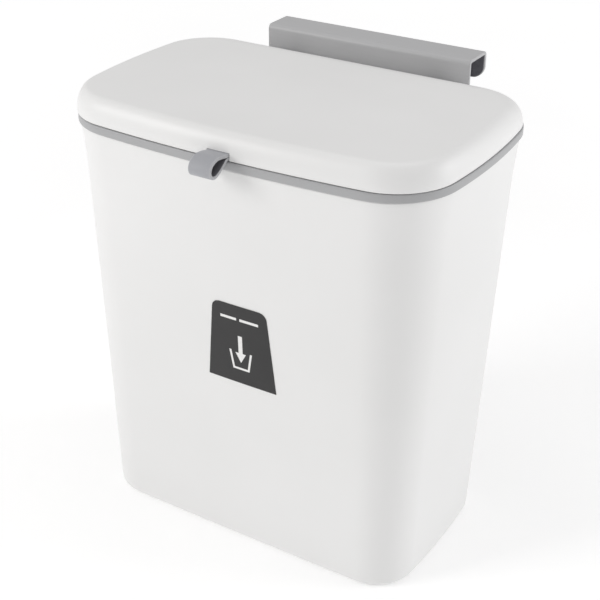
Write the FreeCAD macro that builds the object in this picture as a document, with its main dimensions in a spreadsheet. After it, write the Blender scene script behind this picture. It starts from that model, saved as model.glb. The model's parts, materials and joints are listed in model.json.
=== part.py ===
"""A hanging kitchen waste bin: tapered bucket, bag ring, hinged lid with a pull strap, over-door hook.

Frame: millimetres, +Z up, -Y is the front, and the origin is the centre of the rim's outline on the floor.
The document's spreadsheet holds the driving dimensions, and every feature is bound to its cells.
"""
import FreeCAD, Part
import Sketcher
import math
import os

V = FreeCAD.Vector
doc = FreeCAD.newDocument("HangingBin")

# ---------------------------------------------------------------- driving dimensions, in millimetres
SIZES = {
    # outline of the rim, measured over the grey band
    "rim_width": 245.0,
    "rim_depth": 156.3,
    "rim_height": 257.3,
    "rim_front_corner": 41.0,
    "rim_back_corner": 38.0,
    "rim_front_bow": 8.0,
    "rim_side_bow": 8.1,
    # how far the walls come in on the way down to the floor
    "side_draft": 10.3,
    "front_draft": 10.5,
    "back_draft": 18.2,
    "base_corner": 27.0,
    "base_front_bow": 0.5,
    "base_side_bow": 3.4,
    # bucket moulding
    "body_inset": 2.4,
    "band_overhang": 1.0,
    "flare_height": 33.0,
    "base_round": 4.7,
    "bucket_wall": 2.0,
    "floor_thickness": 3.5,
    # downward-open rail on the bucket's back, which hangs on the hook's tongue
    "rail_width": 112.0,
    "rail_wall": 2.2,
    "rail_top_drop": 22.0,
    "rail_height": 36.0,
    # bag ring
    "band_height": 5.0,
    "band_wall": 2.4,
    "flange_thickness": 2.2,
    "flange_width": 17.0,
    "skirt_depth": 24.0,
    "skirt_wall": 1.6,
    "skirt_clearance": 0.5,
    # lid moulding
    "lid_gap": 0.4,
    "lid_height": 14.4,
    "lid_inset": 0.5,
    "lid_back_inset": 2.3,
    "lid_corner_trim": 3.0,
    "lid_round_in": 7.9,
    "lid_round_up": 13.9,
    "lid_back_round_in": 20.3,
    "lid_wall": 2.0,
    # hinge
    "hinge_inset": 7.15,
    "hinge_rise": 5.7,
    "knuckle_radius": 4.0,
    "pin_radius": 1.5,
    "pin_clearance": 0.05,
    "pin_head_radius": 2.4,
    "pin_head_length": 1.5,
    "ear_offset": 48.0,
    "ear_width": 6.0,
    "knuckle_width": 9.5,
    "pin_depth": 7.5,
    "hinge_gap": 0.4,
    "swing_gap": 0.3,
    # lid liner, its gasket and its screws
    "liner_inset": 12.5,
    "liner_back_inset": 20.0,
    "liner_rise": 1.9,
    "liner_thickness": 2.0,
    "gasket_width": 3.0,
    "gasket_edge": 1.0,
    "gasket_lift": 0.3,
    "boss_radius": 3.4,
    "boss_x": 84.0,
    "boss_front_y": 46.0,
    "boss_back_y": 38.0,
    "screw_radius": 1.3,
    "screw_length": 8.0,
    "screw_head_radius": 2.6,
    "screw_head_height": 1.3,
    "screw_clearance": 0.5,
    "screw_play": 0.2,
    # pull strap and its clamp
    "strap_width": 14.0,
    "strap_thickness": 1.9,
    "strap_loop_radius": 5.6,
    "strap_reach": 11.2,
    "strap_drop": 0.3,
    "strap_tail": 9.0,
    "strap_slot_gap": 0.35,
    "clamp_width": 32.0,
    "clamp_depth": 6.0,
    "clamp_setback": 2.25,
    "clamp_thickness": 1.8,
    "clamp_screw_x": 11.5,
    # over-door hook
    "hook_width": 141.0,
    "hook_sheet": 2.2,
    "hook_stand_off": 2.45,
    "hook_rise": 26.9,
    "door_gap": 19.3,
    "leg_drop": 17.5,
    "leg_corner": 8.0,
    "hook_bend": 3.0,
    "tongue_width": 104.0,
    "tongue_gap": 0.35,
    "tongue_overlap": 38.0,
    "pad_thickness": 0.6,
    "pad_margin": 0.8,
    # label
    "label_thickness": 0.25,
    "label_lift": 0.06,
    "label_centre_x": 7.5,
    "label_top_width": 36.0,
    "label_bottom_width": 46.5,
    "label_top": 173.0,
    "label_bottom": 120.7,
    "label_corner": 4.5,
}
sheet = doc.addObject("Spreadsheet::Sheet", "Sizes")
for row, (alias, value) in enumerate(SIZES.items(), start=1):
    sheet.set(f"A{row}", alias)
    sheet.set(f"B{row}", str(value))
    sheet.setAlias(f"B{row}", alias)
doc.recompute()


class Size:
    """A length that carries its value now and the sheet expression that gives it."""

    def __init__(self, value, text):
        self.value = value
        self.text = text

    @staticmethod
    def of(other):
        return other if isinstance(other, Size) else Size(float(other), repr(float(other)))

    def __add__(self, other):
        other = Size.of(other)
        return Size(self.value + other.value, f"({self.text} + {other.text})")

    def __sub__(self, other):
        other = Size.of(other)
        return Size(self.value - other.value, f"({self.text} - {other.text})")

    def __mul__(self, other):
        other = Size.of(other)
        return Size(self.value * other.value, f"({self.text} * {other.text})")

    def __truediv__(self, other):
        other = Size.of(other)
        return Size(self.value / other.value, f"({self.text} / {other.text})")

    def __radd__(self, other):
        return Size.of(other) + self

    def __rsub__(self, other):
        return Size.of(other) - self

    def __rmul__(self, other):
        return Size.of(other) * self

    def __neg__(self):
        return Size(-self.value, f"(0 - {self.text})")


def cell(alias):
    """The sheet's cell of that name, as a Size."""
    return Size(float(sheet.get(alias)), f"Sizes.{alias}")


ZERO = Size.of(0)


# ---------------------------------------------------------------- sketches
def new_body(name):
    """An empty PartDesign body."""
    return doc.addObject("PartDesign::Body", name)


def new_sketch(body, name, role, offset=ZERO):
    """A sketch on one of the body's origin planes, moved along the plane's normal by offset."""
    sketch = body.newObject("Sketcher::SketchObject", name)
    plane = next(f for f in body.Origin.OriginFeatures if f.Role == role)
    sketch.AttachmentSupport = [(plane, "")]
    sketch.MapMode = "FlatFace"
    sketch.AttachmentOffset = FreeCAD.Placement(V(0, 0, offset.value), FreeCAD.Rotation())
    sketch.setExpression(".AttachmentOffset.Base.z", offset.text)
    return sketch


def drive(sketch, size, kind, *where):
    """A dimension of the sketch, bound to the sheet through its expression."""
    index = sketch.addConstraint(Sketcher.Constraint(kind, *where, size.value))
    sketch.setExpression(f"Constraints[{index}]", size.text)


def tie(sketch, *words):
    """A constraint of the sketch that has no dimension."""
    sketch.addConstraint(Sketcher.Constraint(*words))


def place(sketch, edge, point, u, v):
    """Fix a point of an edge at u, v in the sketch's plane."""
    drive(sketch, u, "DistanceX", -1, 1, edge, point)
    drive(sketch, v, "DistanceY", -1, 1, edge, point)


def polygon(body, name, role, points, offset=ZERO):
    """A sketch of a closed polygon; points are pairs of Sizes."""
    sketch = new_sketch(body, name, role, offset)
    add_polygon(sketch, points)
    return sketch


def add_polygon(sketch, points):
    """Add a closed polygon to a sketch."""
    first = sketch.GeometryCount
    count = len(points)
    for k in range(count):
        a = points[k]
        b = points[(k + 1) % count]
        sketch.addGeometry(Part.LineSegment(V(a[0].value, a[1].value, 0), V(b[0].value, b[1].value, 0)))
    for k in range(count):
        tie(sketch, "Coincident", first + k, 2, first + (k + 1) % count, 1)
    for k, (u, v) in enumerate(points):
        place(sketch, first + k, 1, u, v)


def rectangle(body, name, role, low, high, offset=ZERO):
    """A sketch of one rectangle from its low corner to its high corner."""
    return polygon(body, name, role, [low, (high[0], low[1]), high, (low[0], high[1])], offset)


def circles(body, name, role, centres, radius, offset=ZERO):
    """A sketch of equal circles."""
    sketch = new_sketch(body, name, role, offset)
    for k, (u, v) in enumerate(centres):
        sketch.addGeometry(Part.Circle(V(u.value, v.value, 0), V(0, 0, 1), radius.value))
        place(sketch, k, 3, u, v)
        drive(sketch, radius, "Radius", k)
    return sketch


def arc(centre, radius, start, end):
    """A counter-clockwise arc from the point start to the point end."""
    a = math.atan2(start[1] - centre[1], start[0] - centre[0])
    b = math.atan2(end[1] - centre[1], end[0] - centre[0])
    return Part.ArcOfCircle(Part.Circle(V(centre[0], centre[1], 0), V(0, 0, 1), radius), a, b)


class Outline:
    """A rounded rectangle with a bowed front, bowed sides and a straight back, all tangent.

    front and back are distances from the origin; bow_front and bow_side are the radii of the bowed walls.
    """

    def __init__(self, half_width, front, back, front_corner, back_corner, bow_front, bow_side):
        self.half_width = half_width
        self.front = front
        self.back = back
        self.front_corner = front_corner
        self.back_corner = back_corner
        self.bow_front = bow_front
        self.bow_side = bow_side

    def inward(self, side, back=None):
        """The same outline moved inwards by side all round, or by back at the back wall."""
        back = side if back is None else back
        return Outline(self.half_width - side, self.front - side, self.back - back, self.front_corner - side,
                       self.back_corner - side, self.bow_front - side, self.bow_side - side)


def corner_centre(far, far_radius, line_y, side, side_radius, sign):
    """The point far_radius from far (or on y = line_y) and side_radius from side, at its outer end."""
    if far is None:
        dy = line_y - side[1]
        return side[0] + math.sqrt(side_radius**2 - dy**2), line_y
    dx = side[0] - far[0]
    dy = side[1] - far[1]
    gap = math.hypot(dx, dy)
    along = (far_radius**2 - side_radius**2 + gap**2) / (2 * gap)
    across = math.sqrt(far_radius**2 - along**2)
    ux, uy = dx / gap, dy / gap
    return far[0] + along * ux - sign * across * uy, far[1] + along * uy + sign * across * ux


def beyond(a, b, distance):
    """The point at distance from a, on the line from a through b."""
    length = math.hypot(b[0] - a[0], b[1] - a[1])
    return a[0] + (b[0] - a[0]) * distance / length, a[1] + (b[1] - a[1]) * distance / length


def mirror(point):
    """The same point on the other side of the YZ plane."""
    return -point[0], point[1]


def outline_sketch(body, name, outline, height):
    """A horizontal sketch of the outline: eight edges, counter-clockwise from the front wall."""
    sketch = new_sketch(body, name, "XY_Plane", height)
    half_depth = (outline.front + outline.back) / 2
    front_c = (0.0, outline.bow_front.value - outline.front.value)
    side_c = (outline.half_width.value - outline.bow_side.value, outline.back.value - half_depth.value)
    r_front, r_back = outline.front_corner.value, outline.back_corner.value
    bow_front, bow_side = outline.bow_front.value, outline.bow_side.value
    near = corner_centre(front_c, bow_front - r_front, None, side_c, bow_side - r_front, -1)
    if near[0] < 0 or near[1] > front_c[1]:
        near = corner_centre(front_c, bow_front - r_front, None, side_c, bow_side - r_front, 1)
    far = corner_centre(None, None, outline.back.value - r_back, side_c, bow_side - r_back, 1)
    p1 = beyond(front_c, near, bow_front)
    p2 = beyond(side_c, near, bow_side)
    p3 = beyond(side_c, far, bow_side)
    p4 = (far[0], outline.back.value)
    edges = [
        arc(front_c, bow_front, mirror(p1), p1),
        arc(near, r_front, p1, p2),
        arc(side_c, bow_side, p2, p3),
        arc(far, r_back, p3, p4),
        Part.LineSegment(V(*p4, 0), V(*mirror(p4), 0)),
        arc(mirror(far), r_back, mirror(p4), mirror(p3)),
        arc(mirror(side_c), bow_side, mirror(p3), mirror(p2)),
        arc(mirror(near), r_front, mirror(p2), mirror(p1)),
    ]
    for edge in edges:
        sketch.addGeometry(edge)
    for k in range(8):
        tie(sketch, "Tangent", k, 2, (k + 1) % 8, 1)
    tie(sketch, "Horizontal", 4)
    tie(sketch, "PointOnObject", 0, 3, -2)
    tie(sketch, "Symmetric", 2, 3, 6, 3, -2)
    tie(sketch, "Equal", 2, 6)
    tie(sketch, "Equal", 1, 7)
    tie(sketch, "Equal", 3, 5)
    drive(sketch, outline.bow_front, "Radius", 0)
    drive(sketch, outline.bow_side, "Radius", 2)
    drive(sketch, outline.front_corner, "Radius", 1)
    drive(sketch, outline.back_corner, "Radius", 3)
    drive(sketch, outline.bow_front - outline.front, "DistanceY", -1, 1, 0, 3)
    drive(sketch, outline.back, "DistanceY", -1, 1, 4, 1)
    drive(sketch, outline.bow_side - outline.half_width, "DistanceX", 2, 3, -1, 1)
    drive(sketch, half_depth, "DistanceY", 2, 3, 4, 1)
    return sketch


# ---------------------------------------------------------------- features
def loft(body, name, stations, subtract=False):
    """A ruled loft through (outline, height) stations, added to or cut from the body."""
    sketches = [outline_sketch(body, f"{name}_{k}", o, z) for k, (o, z) in enumerate(stations)]
    kind = "PartDesign::SubtractiveLoft" if subtract else "PartDesign::AdditiveLoft"
    feature = body.newObject(kind, name)
    feature.Profile = sketches[0]
    feature.Sections = sketches[1:]
    feature.Ruled = True
    doc.recompute()
    return feature


def grow(body, name, sketch, length, midplane=False, reverse=False):
    """A pad along the sketch's normal, both ways at once if midplane."""
    pad = body.newObject("PartDesign::Pad", name)
    pad.Profile = sketch
    pad.Midplane = midplane
    pad.Reversed = reverse
    pad.Length = length.value
    pad.setExpression("Length", length.text)
    doc.recompute()
    return pad


def carve(body, name, sketch, length, midplane=False, reverse=False):
    """A pocket against the sketch's normal, or along it if reverse; it must take something away."""
    before = body.Shape.Volume
    pocket = body.newObject("PartDesign::Pocket", name)
    pocket.Profile = sketch
    pocket.Midplane = midplane
    pocket.Reversed = reverse
    pocket.Length = length.value
    pocket.setExpression("Length", length.text)
    doc.recompute()
    if not body.Shape.Volume < before:
        raise RuntimeError(f"{name} cuts nothing")
    return pocket


def both_sides(body, name, features):
    """Repeat features mirrored in the YZ plane."""
    plane = next(f for f in body.Origin.OriginFeatures if f.Role == "YZ_Plane")
    pattern = body.newObject("PartDesign::Mirrored", name)
    pattern.Originals = features
    pattern.MirrorPlane = (plane, [""])
    body.Tip = pattern
    doc.recompute()
    return pattern


def round_edges(body, name, base, radius, pick):
    """Fillet the base feature's edges that pick chooses."""
    names = [f"Edge{k}" for k, edge in enumerate(base.Shape.Edges, start=1) if pick(edge)]
    fillet = body.newObject("PartDesign::Fillet", name)
    fillet.Base = (base, names)
    fillet.Radius = radius.value
    fillet.setExpression("Radius", radius.text)
    doc.recompute()
    return fillet


nodes = []


def node(name, thing):
    """Name a finished piece; its label names its file."""
    thing.Label = name
    nodes.append(thing)
    return thing


# ---------------------------------------------------------------- shared places
rim_half_width = cell("rim_width") / 2
rim_half_depth = cell("rim_depth") / 2
rim_z = cell("rim_height")
ring_top = rim_z + cell("band_height")
lid_z = ring_top + cell("lid_gap")
lid_top = lid_z + cell("lid_height")
hinge_y = rim_half_depth - cell("hinge_inset")
hinge_z = ring_top + cell("hinge_rise")
wall = cell("bucket_wall")
rim_bow_front = rim_half_width * rim_half_width / (2 * cell("rim_front_bow"))
rim_bow_side = rim_half_depth * rim_half_depth / (2 * cell("rim_side_bow"))
rim = Outline(rim_half_width, rim_half_depth, rim_half_depth, cell("rim_front_corner"),
              cell("rim_back_corner"), rim_bow_front, rim_bow_side)


def bucket_section(height, outward=ZERO):
    """The bucket's outside at a height below the flare, grown by outward."""
    up = height / rim_z
    down = 1 - up
    inset = cell("body_inset")
    half_width = rim_half_width - inset - cell("side_draft") * down
    front = rim_half_depth - inset - cell("front_draft") * down
    back = rim_half_depth - inset - cell("back_draft") * down
    front_bow = cell("rim_front_bow") * up + cell("base_front_bow") * down
    side_bow = cell("rim_side_bow") * up + cell("base_side_bow") * down
    half_depth = (front + back) / 2
    section = Outline(half_width, front, back,
                      cell("base_corner") * down + (cell("rim_front_corner") - inset) * up,
                      cell("base_corner") * down + (cell("rim_back_corner") - inset) * up,
                      half_width * half_width / (2 * front_bow),
                      half_depth * half_depth / (2 * side_bow))
    return section.inward(-outward)


def flare_section(share, inward=ZERO):
    """The bucket's outside in the flare, share being 0 at the knee and 1 at the rim; its height too."""
    height = rim_z - cell("flare_height") * (1 - share)
    flare = (cell("body_inset") - cell("band_overhang")) * (share * share)
    return bucket_section(height, flare - inward), height


# ---------------------------------------------------------------- bucket
FLARE_STEPS = 4
ROUND_STEPS = 3


def bucket_stations(inward, floor, rounding):
    """Stations of the bucket's outside, or of its inside when inward is the wall."""
    stations = []
    for k in range(ROUND_STEPS + 1):
        angle = math.radians(90 * k / ROUND_STEPS)
        height = floor + rounding * (1 - math.cos(angle))
        stations.append((bucket_section(height, -inward - rounding * (1 - math.sin(angle))), height))
    for k in range(FLARE_STEPS + 1):
        stations.append(flare_section(k / FLARE_STEPS, inward))
    return stations


tub = new_body("BucketTub")
loft(tub, "Outside", bucket_stations(ZERO, ZERO, cell("base_round")))
loft(tub, "Inside", bucket_stations(wall, cell("floor_thickness"), cell("base_round") - wall), subtract=True)

# the rail: a strip across the back, hollow and open below, closed at both ends
rail_high = rim_z - cell("rail_top_drop")
rail_low = rail_high - cell("rail_height")
rail_back = rim_half_depth + cell("hook_stand_off") - cell("tongue_gap") - 0.5
mid_wall_low = bucket_section(rail_low).back - wall / 2
mid_wall_high = bucket_section(rail_high).back - wall / 2
rail_profile = polygon(tub, "RailProfile", "YZ_Plane", [
    (mid_wall_low, rail_low),
    (rail_back, rail_low),
    (rail_back, rail_high - cell("rail_wall")),
    (mid_wall_high, rail_high + cell("rail_wall")),
])
grow(tub, "Rail", rail_profile, cell("rail_width"), midplane=True)
slot_top = rail_high - 2 * cell("rail_wall")
slot_back = rail_back - cell("rail_wall")
rail_slot = polygon(tub, "RailSlotProfile", "YZ_Plane", [
    (bucket_section(rail_low).back + 0.02, rail_low - 0.5),
    (slot_back, rail_low - 0.5),
    (slot_back, slot_top),
    (bucket_section(slot_top).back + 0.15, slot_top),
])
carve(tub, "RailSlot", rail_slot, cell("tongue_width") + 2 * cell("tongue_gap"), midplane=True)
node("bucket", tub)

# ---------------------------------------------------------------- label, a thin sheet on the front wall
skin = new_body("LabelSkin")
label_low = cell("label_bottom") - 10
label_high = cell("label_top") + 10
lift = cell("label_lift")
film = lift + cell("label_thickness")
loft(skin, "FilmOutside", [(bucket_section(z, film), z) for z in (label_low, label_high)])
loft(skin, "FilmInside", [(bucket_section(z, lift), z) for z in (label_low, label_high)], subtract=True)
label_shape = new_body("LabelOutline")
centre_x = cell("label_centre_x")
label_sketch = polygon(label_shape, "LabelTrapezoid", "XZ_Plane", [
    (centre_x - cell("label_bottom_width") / 2, cell("label_bottom")),
    (centre_x + cell("label_bottom_width") / 2, cell("label_bottom")),
    (centre_x + cell("label_top_width") / 2, cell("label_top")),
    (centre_x - cell("label_top_width") / 2, cell("label_top")),
])
block = grow(label_shape, "LabelBlock", label_sketch, rim_half_depth)
round_edges(label_shape, "LabelCorners", block, cell("label_corner"),
            lambda e: abs(e.BoundBox.ZMin - e.BoundBox.ZMax) < 0.01 < e.BoundBox.YLength
            and e.BoundBox.ZMin > cell("label_top").value - 1)
label = doc.addObject("Part::Common", "Label")
label.Base = skin
label.Tool = label_shape
node("label", label)

# ---------------------------------------------------------------- bag ring
ring = new_body("BagRing")
band = outline_sketch(ring, "BandOutline", rim, rim_z)
grow(ring, "Band", band, cell("band_height"))
under = outline_sketch(ring, "UndersideOutline", rim.inward(cell("band_wall")), rim_z)
carve(ring, "Underside", under, cell("band_height") - cell("flange_thickness"), reverse=True)
flange_low = ring_top - cell("flange_thickness")
skirt_low = rim_z - cell("skirt_depth")
skirt_in = wall + cell("skirt_clearance")
skirt_share = 1 - SIZES["skirt_depth"] / SIZES["flare_height"]


def skirt_stations(inward):
    """Stations of the skirt, which follows the bucket's mouth inside."""
    low, low_z = flare_section(skirt_share, inward)
    high, high_z = flare_section(1, inward)
    return [(low, low_z), (high, high_z), (high, flange_low)]


loft(ring, "Skirt", skirt_stations(skirt_in))
loft(ring, "SkirtInside", skirt_stations(skirt_in + cell("skirt_wall")), subtract=True)
mouth = outline_sketch(ring, "MouthOutline", rim.inward(cell("flange_width")), ring_top)
carve(ring, "Mouth", mouth, 2 * cell("flange_thickness"))

# two ears stand on the flange and carry the hinge pins
knuckle = cell("knuckle_radius")
ear_in = cell("ear_offset")
ear_out = ear_in + cell("ear_width")


def barrel_profile(body, name, foot_z, offset):
    """A knuckle seen from the side: half a circle about the hinge line on a straight foot."""
    sketch = new_sketch(body, name, "YZ_Plane", offset)
    low, high = hinge_y - knuckle, hinge_y + knuckle
    y0, y1, zc, zf = low.value, high.value, hinge_z.value, foot_z.value
    sketch.addGeometry(arc((hinge_y.value, zc), knuckle.value, (y1, zc), (y0, zc)))
    sketch.addGeometry(Part.LineSegment(V(y0, zc, 0), V(y0, zf, 0)))
    sketch.addGeometry(Part.LineSegment(V(y0, zf, 0), V(y1, zf, 0)))
    sketch.addGeometry(Part.LineSegment(V(y1, zf, 0), V(y1, zc, 0)))
    for k in range(4):
        tie(sketch, "Coincident", k, 2, (k + 1) % 4, 1)
    place(sketch, 0, 3, hinge_y, hinge_z)
    place(sketch, 1, 1, low, hinge_z)
    place(sketch, 2, 1, low, foot_z)
    place(sketch, 3, 1, high, foot_z)
    drive(sketch, hinge_z, "DistanceY", -1, 1, 3, 2)
    return sketch


ear_profile = barrel_profile(ring, "EarProfile", ring_top - 0.5, ear_in)
ear = grow(ring, "Ear", ear_profile, cell("ear_width"))
ear_bore = circles(ring, "EarBoreCircle", "YZ_Plane", [(hinge_y, hinge_z)],
                   cell("pin_radius") + cell("pin_clearance"), ear_out)
bore = carve(ring, "EarBore", ear_bore, cell("ear_width"))
both_sides(ring, "EarPair", [ear, bore])
node("bag_ring", ring)

# ---------------------------------------------------------------- lid shell
LID_STEPS = 7
lid_base = rim.inward(cell("lid_inset"), cell("lid_back_inset"))
lid_base.front_corner = rim.front_corner - cell("lid_corner_trim")
lid_base.back_corner = rim.back_corner - cell("lid_corner_trim")


def lid_stations(inward):
    """Stations of the lid's outside, or of its inside when inward is the wall.

    The edge rolls over in a quarter ellipse, which is longer at the back than at the front and sides.
    """
    outline = lid_base.inward(inward)
    stations = [(outline, lid_z)]
    for k in range(LID_STEPS + 1):
        angle = math.radians(90 * k / LID_STEPS)
        roll = 1 - math.cos(angle)
        height = lid_top - inward - cell("lid_round_up") * (1 - math.sin(angle))
        if height.value > lid_z.value + 0.2:
            rolled = outline.inward(cell("lid_round_in") * roll, cell("lid_back_round_in") * roll)
            stations.append((rolled, height))
    return stations


lid = new_body("LidShell")
loft(lid, "Outside", lid_stations(ZERO))
loft(lid, "Inside", lid_stations(cell("lid_wall")), subtract=True)

# the lower edge behind the hinge line is cut back to a cylinder, so that it swings clear of the ring
swing = cell("hinge_rise") - cell("swing_gap")
cut = new_sketch(lid, "SwingCutProfile", "YZ_Plane")
far_y = rim_half_depth + 5
low_z = ring_top - 2
corners = [
    (hinge_y.value, hinge_z.value - swing.value),
    (hinge_y.value, low_z.value),
    (far_y.value, low_z.value),
    (far_y.value, hinge_z.value),
    (hinge_y.value + swing.value, hinge_z.value),
]
for k in range(4):
    cut.addGeometry(Part.LineSegment(V(*corners[k], 0), V(*corners[k + 1], 0)))
cut.addGeometry(arc((hinge_y.value, hinge_z.value), swing.value, corners[0], corners[4]))
for k in range(3):
    tie(cut, "Coincident", k, 2, k + 1, 1)
tie(cut, "Coincident", 4, 1, 0, 1)
tie(cut, "Coincident", 4, 2, 3, 2)
place(cut, 4, 3, hinge_y, hinge_z)
place(cut, 0, 1, hinge_y, hinge_z - swing)
place(cut, 1, 1, hinge_y, low_z)
place(cut, 2, 1, far_y, low_z)
drive(cut, hinge_z, "DistanceY", -1, 1, 3, 1)
drive(cut, far_y, "DistanceX", -1, 1, 3, 1)
drive(cut, hinge_z, "DistanceY", -1, 1, 3, 2)
carve(lid, "SwingCut", cut, cell("rim_width") + 10, midplane=True)

# a window over each ear, then a knuckle beside it, bored for the pin
clear = knuckle + cell("hinge_gap")
window_in = ear_in - cell("pin_head_length") - 1
window_out = ear_out + cell("hinge_gap")
window = rectangle(lid, "WindowOutline", "XY_Plane", (window_in, hinge_y - clear),
                   (window_out, rim_half_depth + 5), hinge_z + clear)
window_cut = carve(lid, "Window", window, cell("lid_height") + 5)
knuckle_circle = circles(lid, "KnuckleCircle", "YZ_Plane", [(hinge_y, hinge_z)], knuckle, window_out)
lid_knuckle = grow(lid, "Knuckle", knuckle_circle, cell("knuckle_width"))
pin_end = window_out + cell("pin_depth")
pin_hole = circles(lid, "PinHoleCircle", "YZ_Plane", [(hinge_y, hinge_z)],
                   cell("pin_radius") + cell("pin_clearance"), pin_end)
pin_cut = carve(lid, "PinHole", pin_hole, pin_end - window_in)
both_sides(lid, "HingePair", [window_cut, lid_knuckle, pin_cut])

# the strap's slot is open at the skirt's lower edge
strap_half = cell("strap_width") / 2
strap_stack = 2 * cell("strap_thickness")
strap_low = lid_z + cell("strap_drop")
strap_high = strap_low + strap_stack
slot_gap = cell("strap_slot_gap")
lid_front = rim_half_depth - cell("lid_inset")
slot = rectangle(lid, "StrapSlotOutline", "XY_Plane", (-(strap_half + slot_gap), -(lid_front + 2)),
                 (strap_half + slot_gap, -(lid_front - 5)), strap_high + slot_gap)
carve(lid, "StrapSlot", slot, cell("lid_height"))

# bosses for the liner's screws and for the strap clamp's screws
liner_low = ring_top + cell("liner_rise")
liner_high = liner_low + cell("liner_thickness")
boss_places = [(side * cell("boss_x"), y) for side in (-1, 0, 1)
               for y in (-cell("boss_front_y"), cell("boss_back_y"))]
boss_reach = lid_top - cell("lid_wall") / 2
screw_hole = cell("screw_radius") + 0.02
bosses = circles(lid, "BossCircles", "XY_Plane", boss_places, cell("boss_radius"), liner_high)
grow(lid, "Bosses", bosses, boss_reach - liner_high)
boss_holes = circles(lid, "BossHoleCircles", "XY_Plane", boss_places, screw_hole, liner_high)
carve(lid, "BossHoles", boss_holes, cell("screw_length"), reverse=True)
clamp_boss = cell("boss_radius") - 0.7
clamp_y = -(lid_front - cell("lid_wall") - cell("clamp_depth") / 2 - cell("clamp_setback"))
clamp_places = [(side * cell("clamp_screw_x"), clamp_y) for side in (-1, 1)]
clamp_low = ring_top + cell("screw_head_height") + cell("screw_clearance")
clamp_face = clamp_low + cell("clamp_thickness")
tail_low = clamp_face + 0.05
tail_high = tail_low + cell("strap_thickness")
clamp_high = tail_high + 0.05
clamp_bosses = circles(lid, "ClampBossCircles", "XY_Plane", clamp_places, clamp_boss, clamp_high)
grow(lid, "ClampBosses", clamp_bosses, lid_top - cell("lid_wall") * 0.9 - clamp_high)
clamp_holes = circles(lid, "ClampHoleCircles", "XY_Plane", clamp_places, screw_hole, clamp_high)
carve(lid, "ClampHoles", clamp_holes, cell("screw_length"), reverse=True)
node("lid_shell", lid)

# ---------------------------------------------------------------- hinge pins, with their heads towards the middle
for name, side in (("hinge_pin_left", -1), ("hinge_pin_right", 1)):
    pin = new_body(name.title().replace("_", ""))
    head_at = side * (ear_in - cell("hinge_gap"))
    head = circles(pin, f"{pin.Name}Head", "YZ_Plane", [(hinge_y, hinge_z)], cell("pin_head_radius"), head_at)
    grow(pin, f"{pin.Name}HeadPad", head, cell("pin_head_length"), reverse=side > 0)
    shank = circles(pin, f"{pin.Name}Shank", "YZ_Plane", [(hinge_y, hinge_z)], cell("pin_radius"), head_at)
    grow(pin, f"{pin.Name}ShankPad", shank, pin_end - cell("hinge_gap") - head_at * side, reverse=side < 0)
    node(name, pin)

# ---------------------------------------------------------------- lid liner, gasket and screws
liner_outline = rim.inward(cell("liner_inset"), cell("liner_back_inset"))
liner = new_body("LidLiner")
liner_sketch = outline_sketch(liner, "LinerOutline", liner_outline, liner_low)
grow(liner, "LinerPlate", liner_sketch, cell("liner_thickness"))
through_hole = cell("screw_radius") + cell("screw_play")
liner_holes = circles(liner, "LinerHoleCircles", "XY_Plane", boss_places, through_hole, liner_high)
carve(liner, "LinerHoles", liner_holes, cell("liner_thickness"))
node("lid_liner", liner)

gasket = new_body("LidGasket")
gasket_low = ring_top + cell("gasket_lift")
gasket_outline = liner_outline.inward(cell("gasket_edge"))
gasket_sketch = outline_sketch(gasket, "GasketOutline", gasket_outline, gasket_low)
grow(gasket, "GasketPad", gasket_sketch, liner_low - gasket_low)
gasket_hole = outline_sketch(gasket, "GasketInside", gasket_outline.inward(cell("gasket_width")), gasket_low)
carve(gasket, "GasketHole", gasket_hole, liner_low - gasket_low, reverse=True)
node("lid_gasket", gasket)


def screws(name, places, seat_z):
    """A group of pan-head screws pointing up, their heads against seat_z from below."""
    parts = []
    for k, (x, y) in enumerate(places):
        head = cell("screw_head_height")
        for tail, radius, low, length in (
                ("Head", cell("screw_head_radius"), seat_z - head, head),
                ("Shank", cell("screw_radius"), seat_z, cell("screw_length"))):
            cylinder = doc.addObject("Part::Cylinder", f"{name.title().replace('_', '')}{tail}{k}")
            cylinder.setExpression("Radius", radius.text)
            cylinder.setExpression("Height", length.text)
            cylinder.setExpression(".Placement.Base.x", x.text)
            cylinder.setExpression(".Placement.Base.y", y.text)
            cylinder.setExpression(".Placement.Base.z", low.text)
            parts.append(cylinder)
    group = doc.addObject("Part::MultiFuse", name.title().replace("_", ""))
    group.Shapes = parts
    group.Refine = True
    doc.recompute()
    return node(name, group)


screws("liner_screws", boss_places, liner_low)

# ---------------------------------------------------------------- pull strap, a loop with its tail in the lid
strap = new_body("PullStrap")
strap_sketch = new_sketch(strap, "StrapProfile", "YZ_Plane")
loop_radius = cell("strap_loop_radius")
loop_y = -(lid_front + cell("strap_reach"))
loop_z = strap_high - loop_radius + 1.0
mouth_y = -(lid_front - cell("lid_wall") - 0.3)
tail_y = mouth_y + cell("strap_tail")


def tangent_point(point, centre, radius, side):
    """Where a line from point touches a circle: side 1 is its upper tangent and -1 its lower one."""
    dy, dz = point[0] - centre[0], point[1] - centre[1]
    distance = math.hypot(dy, dz)
    turn = math.acos(radius / distance) * side
    angle = math.atan2(dz, dy) + turn
    return centre[0] + radius * math.cos(angle), centre[1] + radius * math.sin(angle)


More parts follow.
